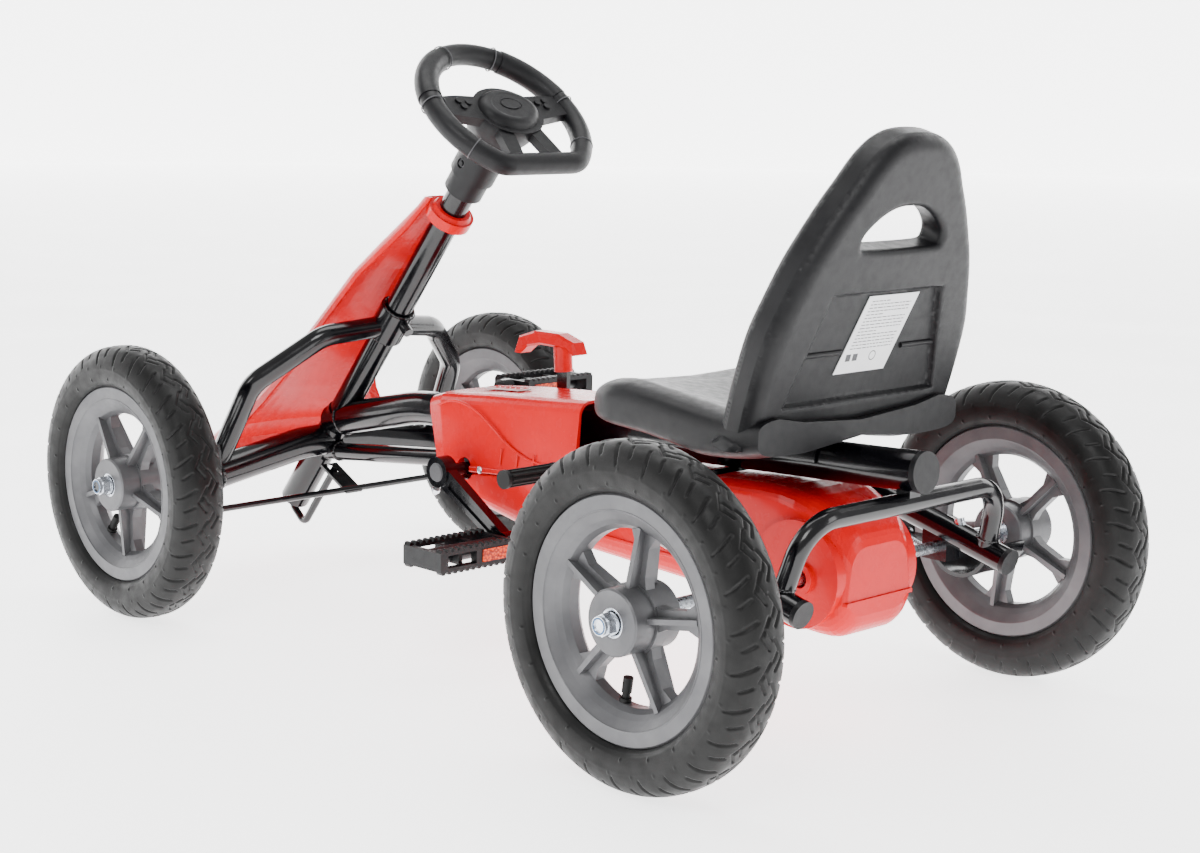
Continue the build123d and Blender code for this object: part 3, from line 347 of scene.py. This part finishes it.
def wheels():
    for key, (sx, sy, body) in WHEELS.items():
        o = grid_object("tread_" + key, TYRE_PTS, "tyre", True, False)
        turn = Matrix.Rotation(math.radians(TREAD_TURN[key]), 4, "Y")
        spin = Matrix.Rotation(math.pi, 4, "Z") if sy < 0 else Matrix.Identity(4)
        o.data.transform(Matrix.Translation((AX * sx, WY * sy, TR)) @ spin @ turn)
        ride(o, body)
        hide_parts("tyre_" + key)
        holder = HOLDER.get(key, "drive_axle")
        c = Vector((AX * sx, WY * sy, TR))
        out = Vector((0, sy, 0))
        seal = [(0.0076, 0.0274), (0.0127, 0.0274), (0.0127, 0.0292), (0.0076, 0.0292)]
        ride(lathe("bearing_seal_" + key, seal, "rubber", c, out), body)
        race = [(0.0108, 0.0284), (0.0135, 0.0284), (0.0135, 0.0304), (0.0124, 0.0307), (0.0108, 0.0300)]
        ride(lathe("bearing_race_" + key, race, "zinc", c, out), body)
        inner = [(0.0064, 0.0290), (0.0088, 0.0290), (0.0088, 0.0303), (0.0064, 0.0303)]
        ride(lathe("bearing_inner_" + key, inner, "zinc", c, out), body)
        back = [(0.0070, -0.0262), (0.0132, -0.0262), (0.0132, -0.0240), (0.0070, -0.0240)]
        ride(lathe("bearing_back_" + key, back, "zinc", c, out), body)
        nylon = [(0.0061, 0.0440), (0.0078, 0.0440), (0.0076, 0.04645), (0.0061, 0.0465)]
        ride(lathe("nut_insert_" + key, nylon, "blue_nylon", c, out), holder)
        lip = [(0.0955, 0.0216), (0.0962, 0.0224), (0.0972, 0.0224), (0.0976, 0.0216)]
        ride(lathe("rim_lip_" + key, lip, "rim_grey", c, out, 128), body)


wheels()


# ---- seat ---------------------------------------------------------------
LEAN = math.radians(16.54)              # of the seat back, from upright
UP = Vector((-math.sin(LEAN), 0, math.cos(LEAN)))
FWD = Vector((math.cos(LEAN), 0, math.sin(LEAN)))
FOOT = Vector((-0.425, 0, 0.340))       # rear face of the back, where its height t is 0
BACK_THICK = 42.0
LABEL_FACE = 0.00462
BACK_OUT = [(-62, 138), (-50, 146), (0, 148), (46, 145), (80, 135), (115, 122), (145, 106), (170, 91),
            (190, 77), (208, 65), (222, 52), (232, 36), (237, 16)]


def smooth_loop(pts, n):
    # closed Catmull-Rom loop resampled to n points
    p = np.array(pts, float)
    m = len(p)
    out = []
    for i in range(m):
        a, b, c, d = p[i - 1], p[i], p[(i + 1) % m], p[(i + 2) % m]
        for t in np.linspace(0, 1, 12, endpoint=False):
            out.append(0.5 * (2 * b + (c - a) * t + (2 * a - 5 * b + 4 * c - d) * t ** 2
                              + (3 * b - a - 3 * c + d) * t ** 3))
    q = np.array(out)
    s = np.r_[0, np.cumsum(np.hypot(*(np.roll(q, -1, 0) - q).T))]
    q = np.vstack([q, q[:1]])
    u = np.linspace(0, s[-1], n, endpoint=False)
    return np.c_[np.interp(u, s, q[:, 0]), np.interp(u, s, q[:, 1])]


def inset_loop(p, d):
    t = np.roll(p, -1, 0) - np.roll(p, 1, 0)
    t /= np.linalg.norm(t, axis=1)[:, None]
    n = np.c_[t[:, 1], -t[:, 0]]
    area = np.sum(p[:, 0] * np.roll(p[:, 1], -1) - np.roll(p[:, 0], -1) * p[:, 1])
    return p - n * d * np.sign(area)


def signed(p, poly):
    # distance of points p to a closed outline, negative outside
    a, b = poly, np.roll(poly, -1, 0)
    ab = b - a
    t = np.clip(((p[:, None] - a) * ab).sum(2) / (ab ** 2).sum(1), 0, 1)
    d = np.hypot(*np.moveaxis(p[:, None] - (a + ab * t[..., None]), 2, 0)).min(1)
    x, y = p[:, :1], p[:, 1:]
    hit = ((a[:, 1] > y) != (b[:, 1] > y)) & (x < a[:, 0] + ab[:, 0] * (y - a[:, 1]) / (ab[:, 1] + 1e-12))
    return np.where(hit.sum(1) % 2 == 1, d, -d)


def ramp(v, lo, hi):
    t = np.clip((v - lo) / (hi - lo), 0, 1)
    return t * t * (3 - 2 * t)


def edge_round(d, r):
    return r - np.sqrt(np.maximum(r * r - (r - np.minimum(d, r)) ** 2, 0))


def seat_back():
    # both faces of the back as height fields over one triangulated outline
    outer = smooth_loop([(w, t) for t, w in BACK_OUT] + [(-w, t) for t, w in reversed(BACK_OUT)], 240)
    hole = smooth_loop([(50, 131), (0, 130), (-50, 131), (-58, 136), (-56, 146), (-40, 160), (-20, 169),
                        (0, 171), (20, 169), (40, 160), (56, 146), (58, 136)], 110)
    trap = smooth_loop([(74, 89), (0, 89), (-74, 89), (-82, 81), (-95, 35), (-108, -10), (-102, -18),
                        (0, -18), (102, -18), (108, -10), (95, 35), (82, 81)], 200)
    steps = (0.25, 0.9, 2.0, 3.6, 5.8, 8.6, 12, 16)
    rings = [outer] + [inset_loop(outer, d) for d in steps] + [hole]
    rings += [inset_loop(hole, -d) for d in (0.3, 1.0, 2.2, 4.0, 6.5)]
    rings += [inset_loop(trap, d) for d in (-1.6, -0.6, 0.4, 1.4, 2.4)]
    gx, gy = np.meshgrid(np.arange(-150, 151, 4.0), np.arange(-64, 240, 4.0))
    loose = np.vstack(rings[1:9] + rings[10:] + [np.c_[gx.ravel(), gy.ravel()]])
    keep = (signed(loose, outer) > 0.15) & (signed(loose, hole) < -0.2)
    pts = np.vstack([outer, hole, loose[keep]])
    n0, n1 = len(outer), len(hole)
    edges = [(i, (i + 1) % n0) for i in range(n0)] + [(n0 + i, n0 + (i + 1) % n1) for i in range(n1)]
    flat, _, tris, *_ = delaunay_2d_cdt([Vector(p) for p in pts], edges, [], 0, 1e-4)
    flat = np.array([tuple(v) for v in flat])
    tris = np.array([t for t in tris if len(t) == 3])
    mid = flat[tris].mean(1)
    tris = tris[(signed(mid, outer) > 0) & (signed(mid, hole) < 0)]
    d = np.minimum(np.maximum(signed(flat, outer), 0), 200)
    h = np.maximum(-signed(flat, hole), 0)
    back = edge_round(d, 15.0) + edge_round(h, 6.0) + 6.0 * ramp(signed(flat, trap), -1.2, 2.4)
    dish = 13.0 * ramp(signed(flat, outer), 14, 46)
    front = BACK_THICK - edge_round(d, 13.0) - dish - edge_round(h, 5.0)
    verts = []
    for depth in (back, front):
        for i, (w, t) in enumerate(flat):
            verts.append(FOOT + UP * (t / 1000) + Vector((0, w / 1000, 0)) + FWD * (depth[i] / 1000))
    n = len(flat)
    faces = [tuple(int(k) for k in t[::-1]) for t in tris] + [tuple(int(k) + n for k in t) for t in tris]
    seen = {}
    for t in tris:
        for u, v in ((t[0], t[1]), (t[1], t[2]), (t[2], t[0])):
            seen[(int(u), int(v))] = 1
    # walls where a triangle edge has no neighbour: the outline and the hand hole
    for u, v in seen:
        if (v, u) not in seen:
            faces.append((v, u, u + n))
            faces.append((v, u + n, v + n))
    return mesh_object("seat_back", verts, faces, "black_plastic")


def seat():
    back = seat_back()
    m = back.modifiers.new("split", "EDGE_SPLIT")
    m.split_angle = math.radians(48)
    ride(back, "seat")
    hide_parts("seat")
    # raised line across the recess, hidden under the label in the middle
    for y0, y1 in ((-0.099, -0.047), (0.041, 0.099)):
        a = FOOT + UP * 0.030 + Vector((0, y0, 0)) + FWD * 0.006
        b = FOOT + UP * 0.030 + Vector((0, y1, 0)) + FWD * 0.006
        ride(wire("seat_line", [a, (a + b) / 2, b], 0.0028, "black_plastic"), "seat")
    seat_pan()


def seat_pan():
    # rounded sections across the kart, lofted from the front lip to the back
    n_u, n_v = 60, 96
    xs = -0.181 - 0.242 * (np.linspace(0, 1, n_u) ** 1.5)
    key_x = [-430, -400, -376, -343, -300, -270, -240, -215, -198, -186, -181]
    top = np.interp(xs * 1000, key_x, [316, 316, 317, 321, 327, 331, 334, 331, 324, 312, 302])
    bot = np.interp(xs * 1000, key_x, [283, 275, 272, 270, 277, 281, 283, 285, 287, 291, 300])
    k = np.array([1, 2, 3, 2, 1.0]) / 9
    top = np.convolve(np.pad(top, 2, mode="edge"), k, "valid")
    bot = np.convolve(np.pad(bot, 2, mode="edge"), k, "valid")
    pts = np.zeros((n_u, n_v, 3))
    for i, x in enumerate(xs * 1000):
        f = min(max((-181 - x) / 54.0, 0.0), 1.0)
        w = 147 - 54 + 54 * math.sqrt(1 - (1 - f) ** 2)
        zc, hh = (top[i] + bot[i]) / 2, (top[i] - bot[i]) / 2
        for j in range(n_v):
            a = 2 * math.pi * j / n_v
            c, s = math.cos(a), math.sin(a)
            y = w * math.copysign(abs(c) ** 0.22, c)
            z = zc + hh * math.copysign(abs(s) ** 0.55, s)
            if s > 0:
                z -= 13 * f * max(0.0, 1 - (abs(y) / 118.0) ** 2.2)
            elif z < 288:
                z = max(z, 288 - 1.2 * max(0.0, abs(y) - 27)) if abs(y) < 45 else z
            pts[i, j] = (x, y, z)
    pan = grid_object("seat_pan", pts / 1000, "black_plastic", False, True)
    caps = [tuple(range(n_v)), tuple(n_v * (n_u - 1) + j for j in range(n_v))]
    me = pan.data
    faces = [tuple(p.vertices) for p in me.polygons] + caps
    verts = [tuple(v.co) for v in me.vertices]
    bpy.data.objects.remove(pan)
    pan = mesh_object("seat_pan", verts, faces, "black_plastic")
    m = pan.modifiers.new("split", "EDGE_SPLIT")
    m.split_angle = math.radians(50)
    ride(pan, "seat")
    eyelet = [(0.0035, 0), (0.0075, 0), (0.0070, 0.0012), (0.0040, 0.0012)]
    for x in (-0.300, -0.345):
        z = float(np.interp(x, xs[::-1], top[::-1])) / 1000 - 0.0135
        ride(lathe("seat_drain", eyelet, "ink", (x, 0, z), (0, 0, 1), 32), "seat")


def label_print():
    # generic bars and a ring in place of print on the seat label
    verts, faces = [], []

    def patch(corners):
        k = len(verts)
        for t, y in corners:
            verts.append(FOOT + UP * (t / 1000) + Vector((0, y / 1000, 0)) + FWD * LABEL_FACE)
        faces.append((k, k + 1, k + 2, k + 3))

    def quad(t0, t1, y0, y1):
        patch(((t0, y0), (t0, y1), (t1, y1), (t1, y0)))

    for row in range(15):
        t = 79 - row * 3.3
        left = 21 + (84 - t) * 24 / 76 - 7
        y = left
        while y > left - 60:
            step = random.uniform(2.5, 7.5)
            if row in (0, 4, 9) and y < left - 24:
                break
            quad(t, t - 0.85, y, max(y - step, left - 60))
            y -= step + 1.3
    quad(27, 20, 33, 26)
    quad(27, 20, 23, 16)

    def on_ring(step, radius):
        a = step / 12 * math.pi
        return 23.5 + radius * math.cos(a), -6 + radius * math.sin(a)

    for step in range(24):
        patch((on_ring(step, 5), on_ring(step + 1, 5), on_ring(step + 1, 4), on_ring(step, 4)))
    ride(mesh_object("label_bars", verts, faces, "ink", False), "seat")


# ---- trim ---------------------------------------------------------------
def col(s):
    # point at distance s down the steering column
    return COLUMN_TOP + COLUMN_DOWN * s


def bead(name, centre, axis, radius, body="frame", thick=0.0022):
    # uneven ring of weld round a tube
    a = Vector(axis).normalized()
    u = a.orthogonal().normalized()
    w = a.cross(u)
    pts = np.zeros((72, 8, 3))
    for i in range(72):
        t = 2 * math.pi * i / 72
        d = u * math.cos(t) + w * math.sin(t)
        th = thick * (1 + 0.16 * math.sin(t * 17) + 0.1 * math.sin(t * 31 + 1))
        for j in range(8):
            q = 2 * math.pi * j / 8
            pts[i, j] = Vector(centre) + d * (radius + th * 0.8 * math.cos(q)) + a * (th * math.sin(q))
    ride(grid_object(name, pts, "frame_black", True, True), body)


def fixed(o):
    ride(o, "frame")


def welds():
    bead("weld_clamp_top", col(0.148), COLUMN_DOWN, 0.0185)
    bead("weld_clamp_low", col(0.190), COLUMN_DOWN, 0.0185)
    bead("weld_backbone", (0.371, 0, 0.2055), (0.97, 0, -0.2), 0.0195)
    bead("weld_lower", (0.3835, 0, 0.1625), (0.99, 0, -0.1), 0.0105)
    bead("weld_bracket", (CRANK.x, 0, 0.2105), (0, 0, 1), 0.010)


def side_trim(s):
    # welds, crease, flutes and screws of one side; s is 1 on the left and -1 on the right
    knuckle = "knuckle_left" if s > 0 else "knuckle_right"
    bead("weld_beam", (AX, 0.167 * s, 0.1525), (0, 1, -0.16 * s), 0.0195)
    bead("weld_bumper", (-0.4630, 0.1538 * s, 0.1735), (-0.27, 0, 0.96), 0.0100)
    bead("weld_cross", (-0.262, 0.143 * s, 0.223), (0, 1, 0), 0.0120)
    bead("weld_stub", (AX, 0.2185 * s, TR), (0, 1, 0), 0.0100, knuckle)
    crease = [(0.130, 0.0555, 0.2560), (0.105, 0.0575, 0.2640), (0.070, 0.0585, 0.2600),
              (0.040, 0.0593, 0.2460), (0.012, 0.0603, 0.2290), (-0.020, 0.0608, 0.2170),
              (-0.060, 0.0611, 0.2130), (-0.090, 0.0611, 0.2120)]
    crease = [(x, y * s, z) for x, y, z in crease]
    fixed(wire("guard_crease", crease, 0.0013, "red_plastic"))
    for x in (0.020, -0.006, -0.032):
        flute = [(x, 0.0612 * s, 0.203), (x - 0.001, 0.0613 * s, 0.212), (x - 0.002, 0.0610 * s, 0.222)]
        fixed(wire("guard_flute", flute, 0.0010, "red_plastic"))
    screw = [(0.0, 0.0), (0.0042, 0.0), (0.0040, 0.0016), (0.0022, 0.0022), (0.0018, 0.0010), (0.0, 0.0010)]
    for x, y, z in ((-0.060, 0.0632, 0.209), (0.050, 0.0632, 0.1945), (-0.420, 0.0548, 0.150)):
        fixed(lathe("guard_screw", screw, "zinc", (x, y * s, z), (0, s, 0), 24))


def badge_print():
    # outline and five plain bars on the blank badge
    c = Vector((0.070, 0.006, 0.27735))
    ax, ay = Vector((0.9982, 0, -0.0593)), Vector((0, 1, 0))
    corners = ((0.026, 0.0075), (-0.026, 0.0075), (-0.026, -0.0075), (0.026, -0.0075))
    box = [c + ax * x + ay * y for x, y in corners]
    fixed(wire("badge_line", box, 0.00055, "red_plastic", True, False))
    for k in range(5):
        p = c + ax * (-0.017 + 0.0085 * k)
        bar = [p - ax * 0.0028, p + ax * 0.0028]
        fixed(wire("badge_bar", bar, 0.0009, "red_plastic", False, False))


def wheel_seams():
    # rings where the grips of the steering wheel meet its rim
    n = Vector((-0.668, 0, 0.744))
    wx, wy = Vector((0, -1, 0)), Vector((0.744, 0, 0.668))
    o = Vector((0.084, 0, 0.577))
    for a in (8, 68, 112, 172, 214, 326):
        t = math.radians(a)
        r = wx * math.cos(t) + wy * math.sin(t)
        rad = 0.01215 if a in (214, 326) else 0.0132
        pts = [o + r * 0.0943 + (r * math.cos(q) + n * math.sin(q)) * rad
               for q in np.linspace(0, 2 * math.pi, 40, endpoint=False)]
        ride(wire("rim_seam", pts, 0.0007, "ink", True, False), "steering")


def brake_spring():
    p0, p1 = Vector((-0.345, -0.176, 0.153)), Vector((-0.395, -0.172, 0.1395))
    along = (p1 - p0).normalized()
    u = along.orthogonal().normalized()
    w = along.cross(u)
    coil = []
    for k in range(221):
        side = (u * math.cos(k * 0.6) + w * math.sin(k * 0.6)) * 0.003
        coil.append(p0 + (p1 - p0) * (k / 220) + side)
    fixed(wire("brake_spring", coil, 0.0005, "zinc", False, False))


def crank_trim():
    # cotter nut and dust cap on each crank boss
    nut = [(0.0, 0.0), (0.0046, 0.0), (0.0046, 0.0040), (0.0026, 0.0044), (0.0026, 0.0070), (0.0, 0.0070)]
    cap = [(0.0, 0.0), (0.0105, 0.0), (0.0095, 0.0018), (0.0, 0.0024)]
    for s in (1, -1):
        a = math.radians(CRANK_TURN if s < 0 else CRANK_TURN + 180)
        arm = Vector((math.cos(a), 0, math.sin(a)))
        side = Vector((-arm.z, 0, arm.x))
        c = CRANK + Vector((0, 0.092 * s, 0)) + side * 0.0228 + arm * 0.002
        ride(lathe("cotter_nut", nut, "zinc", c, side, 6), "crank")
        c = (CRANK.x, 0.1 * s, CRANK.z)
        ride(lathe("crank_cap", cap, "ink", c, (0, s, 0), 32), "crank")


def neck_bolt():
    c = col(-0.076)
    bolt = [(0.0, 0.0), (0.0052, 0.0), (0.0050, 0.0030), (0.0026, 0.0034), (0.0024, 0.0016), (0.0, 0.0016)]
    o = lathe("neck_bolt", bolt, "ink", (c.x, 0.0205, c.z), (0, 1, 0), 24)
    ride(o, "steering")


def trim():
    welds()
    side_trim(1)
    side_trim(-1)
    badge_print()
    wheel_seams()
    brake_spring()
    crank_trim()
    neck_bolt()


seat()
label_print()
trim()


# ---- camera, light, floor ----------------------------------------------
EYE = Vector((-1.63812, 1.53118, 0.61362))     # camera place, metres
HEADING, PITCH_DOWN, ROLL = -44.328, 9.394, 0.7826
LENS = 62.6949                                  # mm on a 36 mm wide sensor


def camera():
    az, el, roll = math.radians(HEADING), math.radians(PITCH_DOWN), math.radians(ROLL)
    d = Vector((math.cos(az) * math.cos(el), math.sin(az) * math.cos(el), -math.sin(el)))
    r = d.cross(Vector((0, 0, 1))).normalized()
    u = r.cross(d)
    r2 = r * math.cos(roll) + u * math.sin(roll)
    u2 = -r * math.sin(roll) + u * math.cos(roll)
    m = Matrix((r2, u2, -d)).transposed().to_4x4()
    m.translation = EYE
    cam = bpy.data.cameras.new("camera")
    cam.sensor_width = 36
    cam.sensor_fit = "HORIZONTAL"
    cam.lens = LENS
    cam.clip_start = 0.01
    o = bpy.data.objects.new("camera", cam)
    bpy.context.collection.objects.link(o)
    o.matrix_world = m
    bpy.context.scene.camera = o


def area(name, loc, target, size, power, color=(1, 1, 1)):
    l = bpy.data.lights.new(name, "AREA")
    l.shape = "RECTANGLE"
    l.size, l.size_y = size
    l.energy = power
    l.color = color
    o = bpy.data.objects.new(name, l)
    bpy.context.collection.objects.link(o)
    d = Vector(target) - Vector(loc)
    o.matrix_world = Matrix.Translation(loc) @ d.to_track_quat("-Z", "Y").to_matrix().to_4x4()


FLOOR_HALF, WALL_R = 14, 13


def glowing(name, tone, rough, strength):
    m, nt, b = new_material(name, (tone,) * 3, rough)
    b.inputs["Emission Color"].default_value = (1, 1, 1, 1)
    b.inputs["Emission Strength"].default_value = strength
    vary_rough(nt, b, noise(nt, 3, 3), 0.5, 0.65)
    MAT[name] = m


def studio():
    w = bpy.data.worlds.new("studio")
    bpy.context.scene.world = w
    w.use_nodes = True
    bg = w.node_tree.nodes["Background"]
    bg.inputs["Color"].default_value = (1, 1, 1, 1)
    bg.inputs["Strength"].default_value = 0.62
    glowing("floor", 0.93, 0.55, 2.6)
    e, z = FLOOR_HALF, -0.0004
    f = mesh_object("floor", [(-e, -e, z), (e, -e, z), (e, e, z), (-e, e, z)], [(0, 1, 2, 3)], "floor", False)
    glowing("backdrop", 0.9, 0.6, 3.1)
    arc = np.linspace(math.radians(-110), math.radians(25), 60)
    wall = np.array([[(WALL_R * math.cos(a), WALL_R * math.sin(a), z) for z in (-0.1, 9)] for a in arc])
    grid_object("backdrop", wall, "backdrop", False, False)
    area("key", (-1.4, 1.9, 2.3), (0, 0, 0.25), (1.1, 1.1), 34)
    area("top", (0.2, -0.2, 2.6), (0, 0, 0.2), (2.2, 1.2), 40)
    area("strip_left", (0.9, 2.3, 0.9), (0, 0, 0.3), (0.4, 1.6), 15)
    area("back_fill", (-2.4, -1.2, 1.1), (-0.3, 0, 0.3), (0.6, 1.4), 12)


camera()
studio()
